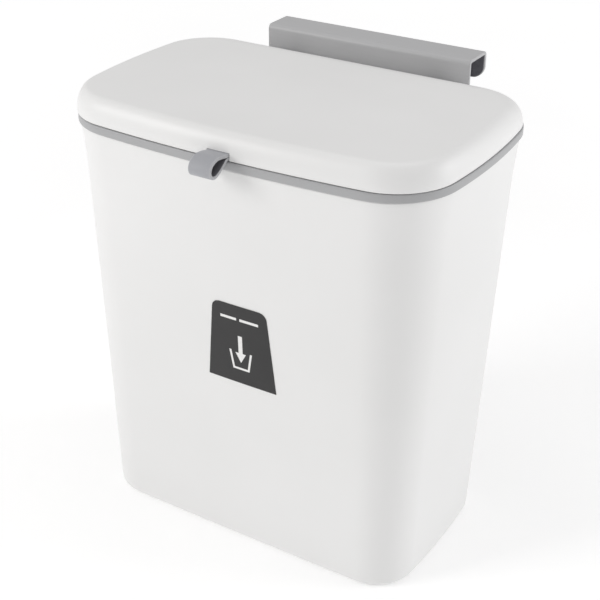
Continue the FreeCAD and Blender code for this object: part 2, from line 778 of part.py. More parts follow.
def add_loop(sketch, radius, upper, lower, closing):
    """Upper line, arc round the front, lower line, then straight lines through the closing points."""
    first = sketch.GeometryCount
    centre = (loop_y.value, loop_z.value)
    a = (upper[0].value, upper[1].value)
    b = (lower[0].value, lower[1].value)
    top = tangent_point(a, centre, radius.value, 1)
    bottom = tangent_point(b, centre, radius.value, -1)
    path = [b] + [(u.value, v.value) for u, v in closing]
    sketch.addGeometry(Part.LineSegment(V(*a, 0), V(*top, 0)))
    sketch.addGeometry(arc(centre, radius.value, top, bottom))
    sketch.addGeometry(Part.LineSegment(V(*bottom, 0), V(*b, 0)))
    if closing:
        path.append(a)
        for start, end in zip(path, path[1:]):
            sketch.addGeometry(Part.LineSegment(V(*start, 0), V(*end, 0)))
    tie(sketch, "Tangent", first, 2, first + 1, 1)
    tie(sketch, "Tangent", first + 1, 2, first + 2, 1)
    place(sketch, first + 1, 3, loop_y, loop_z)
    drive(sketch, radius, "Radius", first + 1)
    place(sketch, first, 1, *upper)
    if not closing:
        tie(sketch, "Coincident", first + 2, 2, first, 1)
        return
    for k in range(len(path) - 1):
        tie(sketch, "Coincident", first + 2 + k, 2, first + 3 + k, 1)
    tie(sketch, "Coincident", first + 2 + len(path) - 1, 2, first, 1)
    place(sketch, first + 2, 2, *lower)
    for k, (u, v) in enumerate(closing):
        place(sketch, first + 3 + k, 2, u, v)


over_band_y = -(rim_half_depth + 0.6)
step_y = clamp_y - cell("clamp_depth") / 2 - 0.1
add_loop(strap_sketch, loop_radius, (mouth_y, strap_high), (over_band_y, strap_low), [
    (mouth_y, strap_low), (step_y, tail_low), (tail_y, tail_low), (tail_y, tail_high), (step_y, tail_high)])
neck = (over_band_y - 0.4, strap_low + strap_stack / 2)
add_loop(strap_sketch, loop_radius - cell("strap_thickness"), neck, neck, [])
grow(strap, "StrapPad", strap_sketch, cell("strap_width"), midplane=True)
node("pull_strap", strap)

clamp = new_body("StrapClamp")
clamp_half = cell("clamp_width") / 2
clamp_sketch = rectangle(clamp, "ClampOutline", "XY_Plane", (-clamp_half, clamp_y - cell("clamp_depth") / 2),
                         (clamp_half, clamp_y + cell("clamp_depth") / 2), clamp_face)
grow(clamp, "ClampPlate", clamp_sketch, cell("clamp_thickness"), reverse=True)
spacers = circles(clamp, "ClampSpacerCircles", "XY_Plane", clamp_places, clamp_boss, clamp_face)
grow(clamp, "ClampSpacers", spacers, clamp_high - clamp_face - 0.02)
clamp_bores = circles(clamp, "ClampBoreCircles", "XY_Plane", clamp_places, through_hole, clamp_high)
carve(clamp, "ClampBores", clamp_bores, cell("lid_height"))
node("strap_clamp", clamp)
screws("strap_screws", clamp_places, clamp_face - cell("clamp_thickness"))

# ---------------------------------------------------------------- over-door hook, bent from one sheet
hook = new_body("DoorHook")
gauge = cell("hook_sheet")
plate_y = rim_half_depth + cell("hook_stand_off")
hook_top = rim_z + cell("hook_rise")
leg_y = plate_y + gauge + cell("door_gap")
leg_low = hook_top - cell("leg_drop")
tongue_tip = slot_top - cell("tongue_gap")
tongue_root = tongue_tip - cell("tongue_overlap")
tongue_back = slot_back - cell("tongue_gap")
tongue_y = tongue_back - gauge
hook_profile = polygon(hook, "HookProfile", "YZ_Plane", [
    (tongue_y, tongue_root - gauge),
    (plate_y + gauge, tongue_root - gauge),
    (plate_y + gauge, hook_top - gauge),
    (leg_y, hook_top - gauge),
    (leg_y, leg_low),
    (leg_y + gauge, leg_low),
    (leg_y + gauge, hook_top),
    (plate_y, hook_top),
    (plate_y, tongue_root),
    (tongue_back, tongue_root),
    (tongue_back, tongue_tip),
    (tongue_y, tongue_tip),
])
grow(hook, "HookSheet", hook_profile, cell("hook_width"), midplane=True)
half_hook = cell("hook_width") / 2
half_tongue = cell("tongue_width") / 2
trim_high = tongue_root + cell("hook_bend")
ends = (("Left", -(half_hook + 1), -half_tongue), ("Right", half_tongue, half_hook + 1))
for end, low_x, high_x in ends:
    fold = rectangle(hook, f"FoldTrim{end}Outline", "XY_Plane", (low_x, tongue_y - 1),
                     (high_x, plate_y + gauge + 1), trim_high)
    carve(hook, f"FoldTrim{end}", fold, trim_high - tongue_root + gauge + 1)
    side = rectangle(hook, f"TongueTrim{end}Outline", "XY_Plane", (low_x, tongue_y - 1),
                     (high_x, plate_y - 0.01), tongue_tip + 1)
    tongue_trim = carve(hook, f"TongueTrim{end}", side, cell("tongue_overlap") + gauge + 3)
leg_round = round_edges(hook, "LegCorners", tongue_trim, cell("leg_corner"), lambda e: (
    e.BoundBox.YLength > 1 and e.BoundBox.XLength < 0.01
    and abs(e.BoundBox.YMin - leg_y.value) < 0.01 and abs(e.BoundBox.ZMax - leg_low.value) < 0.01))
round_edges(hook, "OuterBends", leg_round, cell("hook_bend"), lambda e: (
    e.BoundBox.XLength > 100 and abs(e.BoundBox.ZMin - hook_top.value) < 0.01 and e.BoundBox.ZLength < 0.01))
node("door_hook", hook)

for name, face_y, low, high in (
        ("hook_pad_front", plate_y + gauge, leg_low, hook_top - gauge),
        ("hook_pad_back", leg_y - cell("pad_thickness"), leg_low, hook_top - gauge)):
    pad = new_body(name.title().replace("_", ""))
    margin = cell("pad_margin")
    outline = rectangle(pad, f"{pad.Name}Outline", "XY_Plane", (-(half_hook - margin), face_y),
                        (half_hook - margin, face_y + cell("pad_thickness")), low + margin)
    slab = grow(pad, f"{pad.Name}Slab", outline, high - low - margin - 1)
    round_edges(pad, f"{pad.Name}Corners", slab, cell("leg_corner") - margin, lambda e: (
        e.BoundBox.YLength > 0.5 and e.BoundBox.XLength < 0.01 and e.BoundBox.ZLength < 0.01
        and abs(e.BoundBox.ZMin - (low + margin).value) < 0.01))
    node(name, pad)

# ---------------------------------------------------------------- check and write
doc.recompute()
failed = [o.Name for o in doc.Objects if "Invalid" in o.State or "Error" in o.State]
if failed:
    raise RuntimeError(f"these did not recompute: {failed}")
os.makedirs("parts", exist_ok=True)
for thing in nodes:
    shape = thing.Shape
    if shape.isNull() or not shape.isValid() or not shape.Solids:
        raise RuntimeError(f"{thing.Label} is not a sound solid")
    shape.exportStep(f"parts/{thing.Label}.step")
    print(f"{thing.Label}: {len(shape.Solids)} solids, {shape.Volume / 1000:.2f} cm3")
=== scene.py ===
"""The looks of a hanging kitchen waste bin: bucket, label, bag ring, flip lid, pull strap and over-door hook.

Metres, +Z up, -Y the front. Each section builds one piece, or a group of like pieces, in the order in which
the bin is put together.
"""
import json
import math

import bpy
import numpy as np
from mathutils import Matrix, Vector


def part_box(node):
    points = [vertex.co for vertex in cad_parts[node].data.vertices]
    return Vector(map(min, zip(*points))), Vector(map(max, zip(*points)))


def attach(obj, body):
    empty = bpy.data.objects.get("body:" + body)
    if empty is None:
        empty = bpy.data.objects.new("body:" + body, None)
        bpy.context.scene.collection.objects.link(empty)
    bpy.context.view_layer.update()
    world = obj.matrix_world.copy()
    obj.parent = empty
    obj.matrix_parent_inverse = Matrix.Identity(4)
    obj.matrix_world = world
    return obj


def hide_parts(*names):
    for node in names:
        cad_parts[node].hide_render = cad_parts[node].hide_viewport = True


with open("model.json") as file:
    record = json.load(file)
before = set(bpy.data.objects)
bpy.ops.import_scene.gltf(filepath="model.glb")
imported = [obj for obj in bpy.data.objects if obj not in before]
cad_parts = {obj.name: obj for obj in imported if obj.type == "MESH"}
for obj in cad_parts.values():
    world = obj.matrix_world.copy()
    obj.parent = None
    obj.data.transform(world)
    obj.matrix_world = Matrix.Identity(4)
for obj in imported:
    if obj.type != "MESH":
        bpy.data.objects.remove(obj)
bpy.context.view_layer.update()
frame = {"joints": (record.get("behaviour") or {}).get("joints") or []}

# ---------------------------------------------------------------- bucket
# A deep tub moulded in one shot of white polypropylene. Its walls taper to the floor so that it leaves the
# mould, its front and sides are bowed a little, and the last few centimetres flare out under the bag ring.
base_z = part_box("bucket")[0].z
rim_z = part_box("bucket")[1].z
rim_half_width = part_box("bag_ring")[1].x
rim_half_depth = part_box("bag_ring")[1].y
rim_corners = (0.0410, 0.0380)
rim_bows = (0.0080, 0.0081)
base_corner = 0.0270
base_bows = (0.0005, 0.0034)
drafts = (0.0103, 0.0105, 0.0182)
body_inset = 0.0024
rim_inset = 0.0010
flare_height = 0.0330
bucket_wall = 0.0020
floor_thickness = 0.0035
base_round = 0.0047
inner_round = 0.0040
front_points, near_points, side_points, far_points, back_points = 26, 24, 18, 24, 12


def shape_of(half_width, front, back, corners, bows):
    """An outline's seven numbers: half width, front, back, corner radii, and the radii of the bowed walls.

    A wall's radius is the square of half its length over twice its bow.
    """
    half_depth = (front + back) / 2
    return np.array([half_width, front, back, *corners,
                     half_width**2 / (2 * bows[0]), half_depth**2 / (2 * bows[1])])


def inward(shape, side, back=None):
    """An outline moved in by side all round, or by back at its back wall. Every radius shrinks by side."""
    return shape - [side, side, side if back is None else back, side, side, side, side]


def swing(centre, radius, start, end, points):
    """Points on an arc, without its last one: the centre, plus the radius times the cosine and sine."""
    angles = np.linspace(start, end, points, endpoint=False)
    return centre + radius * np.column_stack([np.cos(angles), np.sin(angles)])


def loop(shape, height):
    """The outline as a closed loop of points (x, y, height), anticlockwise from the middle of the front.

    The front and side walls are arcs and the back is straight. Each front corner is an arc that touches both
    of its walls: its centre lies where two circles cross, each about a wall's centre and smaller than the
    wall's own circle by the corner's radius.
    """
    half_width, front, back, near_radius, far_radius, front_radius, side_radius = shape
    middle = (back - front) / 2
    front_centre = np.array([0, front_radius - front])
    side_centre = np.array([half_width - side_radius, middle])
    reach = front_radius - near_radius
    across = side_centre - front_centre
    gap = math.hypot(*across)
    along = (reach**2 - (side_radius - near_radius)**2 + gap**2) / (2 * gap)
    off = math.sqrt(reach**2 - along**2)
    near = front_centre + (along * across + off * np.array([-across[1], across[0]])) / gap
    far_y = back - far_radius
    far = np.array([side_centre[0] + math.sqrt((side_radius - far_radius)**2 - (far_y - middle)**2), far_y])
    turns = [-math.pi / 2]
    turns += [math.atan2(*(corner - wall)[::-1]) for corner, wall in
              ((near, front_centre), (near, side_centre), (far, side_centre))]
    turns += [math.pi / 2]
    half = np.vstack([
        swing(front_centre, front_radius, turns[0], turns[1], front_points),
        swing(near, near_radius, turns[1], turns[2], near_points),
        swing(side_centre, side_radius, turns[2], turns[3], side_points),
        swing(far, far_radius, turns[3], turns[4], far_points),
        np.column_stack([np.linspace(far[0], 0, back_points), np.full(back_points, back)]),
    ])
    whole = np.vstack([half, half[-2:0:-1] * [-1, 1]])
    return np.column_stack([whole, np.full(len(whole), height)])


def skin(loops, closed=False):
    """Vertices and arrays of faces of a closed shell through equal loops, given as (rows, points, 3).

    Quads join each loop to the next. The last joins the first if closed, and otherwise a fan about its middle
    closes each end. The faces are turned outwards by the sign of the volume that they enclose.
    """
    loops = np.asarray(loops, float)
    rows, points = loops.shape[:2]
    index = np.arange(rows * points).reshape(rows, points)
    after = np.roll(index, -1, 0) if closed else index[1:]
    before = index if closed else index[:-1]
    quads = np.stack([before, np.roll(before, -1, 1), np.roll(after, -1, 1), after], -1).reshape(-1, 4)
    vertices = loops.reshape(-1, 3)
    fans = np.empty((0, 3), int)
    if not closed:
        low, high = index[0], index[-1]
        fans = np.vstack([np.column_stack([np.full(points, rows * points), np.roll(low, -1), low]),
                          np.column_stack([np.full(points, rows * points + 1), high, np.roll(high, -1)])])
        vertices = np.vstack([vertices, loops[0].mean(0), loops[-1].mean(0)])
    halves = vertices[np.vstack([quads[:, :3], quads[:, [0, 2, 3]], fans])]
    if np.einsum("ij,ij->", halves[:, 0], np.cross(halves[:, 1], halves[:, 2])) < 0:
        quads, fans = quads[:, ::-1], fans[:, ::-1]
    return vertices, [quads, fans]


def mesh_of(name, shells):
    """One mesh of several shells, each (vertices, arrays of faces)."""
    starts = np.cumsum([0] + [len(vertices) for vertices, arrays in shells])
    faces = [face for (vertices, arrays), start in zip(shells, starts)
             for array in arrays for face in (array + start).tolist()]
    mesh = bpy.data.meshes.new(name)
    mesh.from_pydata(np.vstack([vertices for vertices, arrays in shells]).tolist(), [], faces)
    return mesh


def piece(name, mesh, material, body, sharp=40):
    """A mesh or a list of shells as an object on a body, smooth but for edges over sharp degrees."""
    if isinstance(mesh, list):
        mesh = mesh_of(name, mesh)
    mesh.polygons.foreach_set("use_smooth", np.ones(len(mesh.polygons), bool))
    mesh.set_sharp_from_angle(angle=math.radians(sharp))
    mesh.materials.clear()
    mesh.materials.append(material)
    thing = bpy.data.objects.new(name, mesh)
    bpy.context.scene.collection.objects.link(thing)
    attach(thing, body)
    return thing


class Shade:
    """A shader socket that adds, subtracts and multiplies with others and with plain numbers."""

    def __init__(self, tree, socket):
        self.tree = tree
        self.socket = socket

    def node(self, kind, settings, sockets, output=0):
        """Any node: its settings, then the values and links of its sockets. Gives one of its outputs."""
        made = self.tree.nodes.new(kind)
        for name, value in settings.items():
            setattr(made, name, value)
        for name, value in sockets.items():
            if isinstance(value, Shade):
                self.tree.links.new(value.socket, made.inputs[name])
            else:
                made.inputs[name].default_value = value
        return Shade(self.tree, made.outputs[output])

    def maths(self, operation, first, second):
        """A Math node on two values."""
        return self.node("ShaderNodeMath", {"operation": operation}, {0: first, 1: second})

    def __add__(self, other):
        return self.maths("ADD", self, other)

    def __sub__(self, other):
        return self.maths("SUBTRACT", self, other)

    def __rsub__(self, other):
        return self.maths("SUBTRACT", other, self)

    def __mul__(self, other):
        return self.maths("MULTIPLY", self, other)

    __radd__ = __add__
    __rmul__ = __mul__

    def noise(self, scale, detail=2.0):
        """Fractal noise about 0.5 at these coordinates, with scale cells to the metre."""
        return self.node("ShaderNodeTexNoise", {}, {"Vector": self, "Scale": scale, "Detail": detail})

    def spread(self, low, high, to_low=0.0, to_high=1.0):
        """This value with its range low to high carried to another, and clamped there."""
        return self.node("ShaderNodeMapRange", {}, {0: self, 1: low, 2: high, 3: to_low, 4: to_high})

    def blend(self, low, high):
        """A colour that goes from low, a plain or a shaded one, to high as this value goes from 0 to 1."""
        low = low if isinstance(low, Shade) else (*low, 1)
        return self.node("ShaderNodeMix", {"data_type": "RGBA"}, {0: self, 6: low, 7: (*high, 1)}, output=2)

    def bump(self, strength, distance):
        """A normal, from this value as a height."""
        return self.node("ShaderNodeBump", {}, {"Strength": strength, "Distance": distance, "Height": self})


def finish(name, make):
    """A material. make takes the object coordinates, and gives the shader's sockets their values or links."""
    material = bpy.data.materials.new(name)
    material.use_nodes = True
    tree = material.node_tree
    shader = tree.nodes["Principled BSDF"]
    place = Shade(tree, tree.nodes.new("ShaderNodeTexCoord").outputs["Object"])
    for socket, value in make(place).items():
        if isinstance(value, Shade):
            tree.links.new(value.socket, shader.inputs[socket])
        else:
            shader.inputs[socket].default_value = value
    return material


def moulded_white(place):
    """White polypropylene from a finely eroded mould: even and satin, with a faint grain and flow clouds."""
    clouds = place.noise(9, 3).spread(0.3, 0.7)
    grain = place.noise(1600, 2)
    return {
        "Base Color": clouds.blend((0.805, 0.803, 0.797), (0.835, 0.833, 0.829)),
        "Roughness": clouds.spread(0, 1, 0.37, 0.43) + (grain - 0.5) * 0.1,
        "IOR": 1.49,
        "Normal": grain.bump(0.2, 0.00005),
    }


white_plastic = finish("white_polypropylene", moulded_white)


def bucket_shape(height):
    """The tub's outside at a height. The taper is even, and the flare grows with the square of the way up."""
    up = (height - base_z) / (rim_z - base_z)
    down = 1 - up
    side, front, back = (body_inset + draft * down for draft in drafts)
    shape = shape_of(rim_half_width - side, rim_half_depth - front, rim_half_depth - back,
                     [base_corner * down + (corner - body_inset) * up for corner in rim_corners],
                     [low * down + high * up for low, high in zip(base_bows, rim_bows)])
    risen = max(0, 1 - (rim_z - height) / flare_height)
    return inward(shape, (rim_inset - body_inset) * risen**2)


def tub(height, inset):
    """One loop of the tub, moved in from its outside by inset."""
    return loop(inward(bucket_shape(height), inset), height)


def quarter(count):
    """Pairs (sine, cosine) over a quarter turn, both ends included."""
    angles = np.linspace(0, math.pi / 2, count)
    return np.column_stack([np.sin(angles), np.cos(angles)])


floor_z = base_z + floor_thickness
knee_z = rim_z - flare_height
rim_round = bucket_wall / 2
wall_heights = np.concatenate([np.linspace(floor_z + inner_round, knee_z, 12),
                               np.linspace(knee_z, rim_z - rim_round, 12)[1:]])
rows = [tub(floor_z, bucket_wall + 2 * inner_round)]
rows += [tub(floor_z + inner_round * (1 - c), bucket_wall + inner_round * (1 - s)) for s, c in quarter(8)]
rows += [tub(height, bucket_wall) for height in wall_heights[1:]]
rows += [tub(rim_z - rim_round * (1 - s), rim_round * (1 + c)) for s, c in quarter(6)[1:]]
rows += [tub(rim_z - rim_round * (1 - s), rim_round * (1 - c)) for s, c in quarter(6)[-2::-1]]
rows += [tub(height, 0) for height in wall_heights[-2:0:-1]]
rows += [tub(base_z + base_round * (1 - c), base_round * (1 - s)) for s, c in quarter(10)[::-1]]
rows += [tub(base_z, 2 * base_round)]
bucket = piece("bucket_tub", [skin(rows)], white_plastic, "bucket")
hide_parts("bucket")

# ---------------------------------------------------------------- rail on the bucket's back
# Moulded with the tub in white polypropylene: a strip across the back wall, hollow and open below, with a
# sloping roof and closed ends. The hook's tongue goes up into it, and the roof carries the bin.
rail_half = 0.0560
rail_low = rim_z - 0.0580
rail_high = rim_z - 0.0220
rail_wall = 0.0022
rail_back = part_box("bucket")[1].y
rail_edge = 0.0006
slot_half = 0.05235
slot_gap = 0.0001
slot_top = rail_high - 2 * rail_wall
roof_low = rail_high - rail_wall
roof_high = rail_high + rail_wall
roof_inset = 0.0002


def rectangle(half_width, front, back, corner, height):
    """A closed loop round a rectangle with corners of one radius. Its front and back are places along y."""
    middle = (front + back) / 2
    half_depth = (back - front) / 2
    corner = min(corner, 0.9 * half_depth)
    corner_x = half_width - corner
    corner_y = half_depth - corner
    turns = ((1, -1, -math.pi / 2), (1, 1, 0), (-1, 1, math.pi / 2), (-1, -1, math.pi))
    outline = np.vstack([swing((sx * corner_x, middle + sy * corner_y), corner, turn, turn + math.pi / 2, 6)
                         for sx, sy, turn in turns])
    return np.column_stack([outline, np.full(len(outline), height)])


def back_wall(height):
    """Where the tub's outside lies at its back."""
    return bucket_shape(height)[2]


def rail(height, inset, back=rail_back):
    """The rail's outside. Its front lies in the thickness of the tub's wall."""
    return rectangle(rail_half - inset, back_wall(height) - bucket_wall / 2, back - inset, rail_edge, height)


def rail_inside(height, outset=0):
    """The rail's slot, which starts a hair behind the tub's wall."""
    front = back_wall(height) + slot_gap
    return rectangle(slot_half + outset, front, rail_back - rail_wall + outset, rail_edge, height)


rail_rows = [rail_inside(slot_top), rail_inside(rail_low + rail_edge)]
rail_rows += [rail_inside(rail_low + rail_edge * (1 - s), rail_edge * (1 - c)) for s, c in quarter(4)[1:]]
rail_rows += [rail(rail_low + rail_edge * (1 - c), rail_edge * (1 - s)) for s, c in quarter(4)]
rail_rows += [rail(roof_low - rail_edge, 0), rail(roof_low, roof_inset)]
rail_rows += [rail(roof_low + share * (roof_high - roof_low), roof_inset,
                   rail_back + share * (back_wall(roof_high) - roof_inset - rail_back))
              for share in (0.15, 0.4, 0.7, 1.0)]
piece("bucket_rail", [skin(rail_rows)], white_plastic, "bucket")

# ---------------------------------------------------------------- label
# A sticker of dark vinyl film on the front wall, right of the middle, with its two upper corners rounded. The
# print on it is a plain sign made for this bin: two dashes, and an arrow that points down into an open bin.
label_low, label_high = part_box("label")
label_x = (label_low.x + label_high.x) / 2
label_foot_half = (label_high.x - label_low.x) / 2
label_head_half = 0.0180
label_corner = 0.0045
label_columns = 41
film_low = 0.00004
film_high = 0.00031
ink_low = film_high - 0.00001
ink_high = film_high + 0.00003


def on_front(x, z, lift):
    """Points of the front wall at arrays x, z, lifted off it.

    The wall is an arc at each height, so it goes back by its radius less the height of the arc's chord.
    """
    heights, row = np.unique(z, return_inverse=True)
    shapes = np.array([bucket_shape(height) for height in heights])[row.ravel()]
    front = shapes[:, 1].reshape(z.shape)
    radius = shapes[:, 5].reshape(z.shape)
    return np.stack([x, radius - np.sqrt(radius**2 - x**2) - front - lift, z], -1)


def sheet(x, z, low, high):
    """A closed shell over a grid of places on the front wall, from lift low to lift high."""
    inner, outer = on_front(x, z, low), on_front(x, z, high)
    index = np.arange(x.size).reshape(x.shape)
    quads = np.stack([index[:-1, :-1], index[:-1, 1:], index[1:, 1:], index[1:, :-1]], -1).reshape(-1, 4)
    edge = np.concatenate([index[0], index[1:, -1], index[-1, -2::-1], index[-2:0:-1, 0]])
    ahead = np.roll(edge, -1)
    walls = np.stack([edge, edge + x.size, ahead + x.size, ahead], -1)
    faces = np.vstack([quads[:, ::-1], quads + x.size, walls[:, ::-1]])
    return np.vstack([inner.reshape(-1, 3), outer.reshape(-1, 3)]), [faces]


def vinyl(place):
    """Charcoal vinyl: satin, with the faint orange peel of a printed film."""
    peel = place.noise(420, 2)
    fade = place.noise(25, 2).spread(0.3, 0.7)
    return {
        "Base Color": fade.blend((0.023, 0.0225, 0.023), (0.030, 0.0295, 0.030)),
        "Roughness": fade.spread(0, 1, 0.42, 0.50),
        "IOR": 1.45,
        "Normal": peel.bump(0.12, 0.00006),
    }


def white_ink(place):
    """Screen-printed white ink: matt, not quite even where it covers the film."""
    cover = place.noise(900, 3).spread(0.3, 0.7)
    return {
        "Base Color": cover.blend((0.800, 0.795, 0.785), (0.860, 0.858, 0.850)),
        "Roughness": 0.55,
        "Normal": cover.bump(0.1, 0.00002),
    }


label_height = label_high.z - label_low.z
label_up = np.concatenate([np.linspace(0, 1 - label_corner / label_height, 22)[:-1],
                           1 - label_corner / label_height * quarter(14)[:, 1]])
label_z = label_low.z + label_height * label_up
to_top = np.clip(1 - (label_high.z - label_z) / label_corner, 0, 1)
label_half = label_foot_half + (label_head_half - label_foot_half) * label_up
label_half = label_half - label_corner * (1 - np.sqrt(1 - to_top**2))
film = sheet(label_x + label_half[:, None] * np.linspace(-1, 1, label_columns),
             np.repeat(label_z[:, None], label_columns, 1), film_low, film_high)
label = piece("label_film", [film], finish("charcoal_vinyl", vinyl), "bucket")
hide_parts("label")


def mark(low, high):
    """A printed mark between two lines of points (x, z) that run rightwards. x is from the label's middle.

    Each stretch of a line is divided in six even steps, so that the mark bends with the wall.
    """
    ends = np.array([low, high], float)
    places = np.linspace(0, len(low) - 1, 6 * (len(low) - 1) + 1)
    x, z = (np.array([np.interp(places, np.arange(len(low)), line) for line in ends[..., k]]) for k in (0, 1))
    return sheet(label_x + x, z, ink_low, ink_high)


sign_line = 0.0014
bin_floor, bin_top = 0.1302, 0.1427
bin_low, bin_high = 0.0056, 0.0078
arrow_top, arrow_neck, arrow_tip = 0.1532, 0.1416, 0.1352
arrow_half, arrow_head, arrow_point, arrow_step = 0.0014, 0.0036, 0.00005, 0.00002
dash_z = 0.1632
dash_line = 0.0017
dashes = ((-0.0128, -0.0020), (0.0002, 0.0128))
marks = [mark([(-bin_high, bin_top), (-bin_low, bin_floor), (bin_low, bin_floor), (bin_high, bin_top)],
              [(-bin_high + sign_line, bin_top), (-bin_low + 0.8 * sign_line, bin_floor + sign_line),
               (bin_low - 0.8 * sign_line, bin_floor + sign_line), (bin_high - sign_line, bin_top)])]
marks += [mark([(left, dash_z), (right, dash_z)], [(left, dash_z + dash_line), (right, dash_z + dash_line)])
          for left, right in dashes]
arrow_z = np.array([arrow_tip, arrow_neck - arrow_step, arrow_neck, arrow_top])[:, None]
arrow_x = np.array([arrow_point, arrow_head, arrow_half, arrow_half])[:, None] * np.linspace(-1, 1, 9)
marks.append(sheet(label_x + arrow_x, arrow_z + 0 * arrow_x, ink_low, ink_high))
piece("label_print", marks, finish("white_ink", white_ink), "bucket")

# ---------------------------------------------------------------- bag ring
# Moulded in grey polypropylene. Its band stands on the tub's rim and shows all round under the lid, a flange
# reaches inwards, and a skirt goes down inside the tub and holds the bag against its wall.
ring_top = rim_z + 0.0050
band_wall = 0.0024
flange_thickness = 0.0022
flange_width = 0.0170
skirt_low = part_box("bag_ring")[0].z
skirt_in = bucket_wall + 0.0005
skirt_wall = 0.0016
band_edge = 0.0007
flange_low = ring_top - flange_thickness
rim_shape = shape_of(rim_half_width, rim_half_depth, rim_half_depth, rim_corners, rim_bows)


def moulded_grey(place):
    """Grey polypropylene: satin, with a faint grain and a slightly cloudy pigment."""
    clouds = place.noise(14, 3).spread(0.3, 0.7)
    grain = place.noise(1500, 2)
    return {
        "Base Color": clouds.blend((0.384, 0.386, 0.393), (0.412, 0.414, 0.421)),
        "Roughness": clouds.spread(0, 1, 0.40, 0.46) + (grain - 0.5) * 0.1,
        "IOR": 1.49,
        "Normal": grain.bump(0.2, 0.00005),
    }


grey_plastic = finish("grey_polypropylene", moulded_grey)


def band(inset, height):
    """A loop of the rim's outline, moved in by inset."""
    return loop(inward(rim_shape, inset), height)


def skirt(inset, height):
    """A loop that follows the tub's outside, and above the rim the rim's own, moved in by inset."""
    return loop(inward(bucket_shape(min(height, rim_z)), inset), height)


def rounded(make, inset, height, radius, turn):
    """Loops round an edge: a quarter circle about (inset, height), which starts turn quarter turns on."""
    angles = (np.linspace(0, 1, 5) + turn) * math.pi / 2
    return [make(inset - radius * math.cos(a), height + radius * math.sin(a)) for a in angles]


skirt_heights = np.linspace(skirt_low + skirt_wall / 2, rim_z, 8)
ring_rows = rounded(band, band_edge, rim_z + band_edge, band_edge, -1)
ring_rows += rounded(band, band_edge, ring_top - band_edge, band_edge, 0)
ring_rows += rounded(band, flange_width - band_edge, ring_top - band_edge, band_edge, 1)
ring_rows += rounded(band, flange_width - band_edge, flange_low + band_edge, band_edge, 2)
ring_rows += [skirt(skirt_in + skirt_wall, height) for height in (flange_low, *skirt_heights[::-1])]
ring_rows += rounded(skirt, skirt_in + skirt_wall / 2, skirt_low + skirt_wall / 2, skirt_wall / 2, 2)[1:]
ring_rows += rounded(skirt, skirt_in + skirt_wall / 2, skirt_low + skirt_wall / 2, skirt_wall / 2, 3)[1:]
ring_rows += [skirt(skirt_in, height) for height in (*skirt_heights[1:], flange_low)]
ring_rows += [band(band_wall, flange_low), band(band_wall, rim_z)]
ring = piece("ring_band", [skin(ring_rows, closed=True)], grey_plastic, "ring")
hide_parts("bag_ring")

# ---------------------------------------------------------------- hinge ears on the ring
# Two half-round lugs, moulded on the ring's flange in the same grey polypropylene, and bored across for the
# hinge pins.
hinge_y, hinge_z = next(joint for joint in frame["joints"] if joint["name"] == "lid_hinge")["pos_m"][1:]
knuckle_radius = 0.0040
pin_radius = 0.0015
bore_radius = 0.00155
ear_in = 0.0480
ear_out = 0.0540
ear_sunk = 0.0003
ear_foot = hinge_z - ring_top + ear_sunk
small_edge = 0.0004


def lug(x, inset):
    """A loop round a lug, seen along the hinge: half a circle above, and a straight-sided foot below."""
    angles = np.radians(np.concatenate([np.linspace(0, 180, 25), np.linspace(180, 360, 25)[1:-1]]))
    c, s = np.cos(angles), np.sin(angles)
    reach = np.minimum(knuckle_radius / np.maximum(np.abs(c), 1e-6), ear_foot / np.maximum(np.abs(s), 1e-6))
    radius = np.where(s >= 0, knuckle_radius, reach) - inset
    return np.column_stack([np.full(len(angles), x), hinge_y + radius * c, hinge_z + radius * s])


def bore(x, radius):
    """A loop round the lug's bore, with a point for each of the lug's."""
    middle = np.array([x, hinge_y, hinge_z])
    spokes = lug(x, 0) - middle
    return middle + spokes * radius / np.linalg.norm(spokes, axis=1)[:, None]


def eased(low, high, edge):
    """Pairs (place, inset) from low to high, for a piece whose two ends have quarter circles for edges."""
    first = [(low + edge * (1 - c), edge * (1 - s)) for s, c in quarter(4)]
    return first + [(low + high - place, inset) for place, inset in first[::-1]]


ears = []
for side in (-1, 1):
    stations = [lug(side * x, inset) for x, inset in eased(ear_in, ear_out, small_edge)]
    stations += [bore(side * ear_out, bore_radius), bore(side * ear_in, bore_radius)]
    ears.append(skin(stations, closed=True))
piece("ring_ears", ears, grey_plastic, "ring")

# ---------------------------------------------------------------- lid
# Moulded in white polypropylene. A flat top rolls over into a short skirt, quicker at the front and sides
# than at the back. The skirt is cut back round the hinge line, with a window over each ear, and a slot at the
# front for the strap.
lid_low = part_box("lid_shell")[0].z
lid_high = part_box("lid_shell")[1].z
lid_inset = 0.0005
lid_back_inset = 0.0023
lid_corner_trim = 0.0030
lid_wall = 0.0020
round_in = 0.0079
round_up = 0.0139
back_round_in = 0.0203
lid_edge = 0.0005
swing_radius = 0.0054
window_in, window_out = 0.0455, 0.0544
ear_clear = 0.0044
strap_half = 0.0070
strap_slot_half = strap_half + 0.00035
strap_slot_high = 0.26715
strap_slot_deep = 0.0050
crown_inset = 0.0040
swing_far = 0.0120
past_side = 0.0050
past_edge = 0.0020
lid_base = inward(rim_shape, lid_inset, lid_back_inset)
lid_base[3:5] = np.array(rim_corners) - lid_corner_trim


def lid_loop(inset, height, roll=0.0):
    """A loop of the lid, moved in by inset and by its share of the roll."""
    return loop(inward(inward(lid_base, inset), round_in * roll, back_round_in * roll), height)


def rolled(inset, angle):
    """A loop of the lid's roll, a quarter ellipse: angle is 0 at the skirt and a right angle at the top."""
    return lid_loop(inset, lid_high - inset - round_up * (1 - math.sin(angle)), 1 - math.cos(angle))


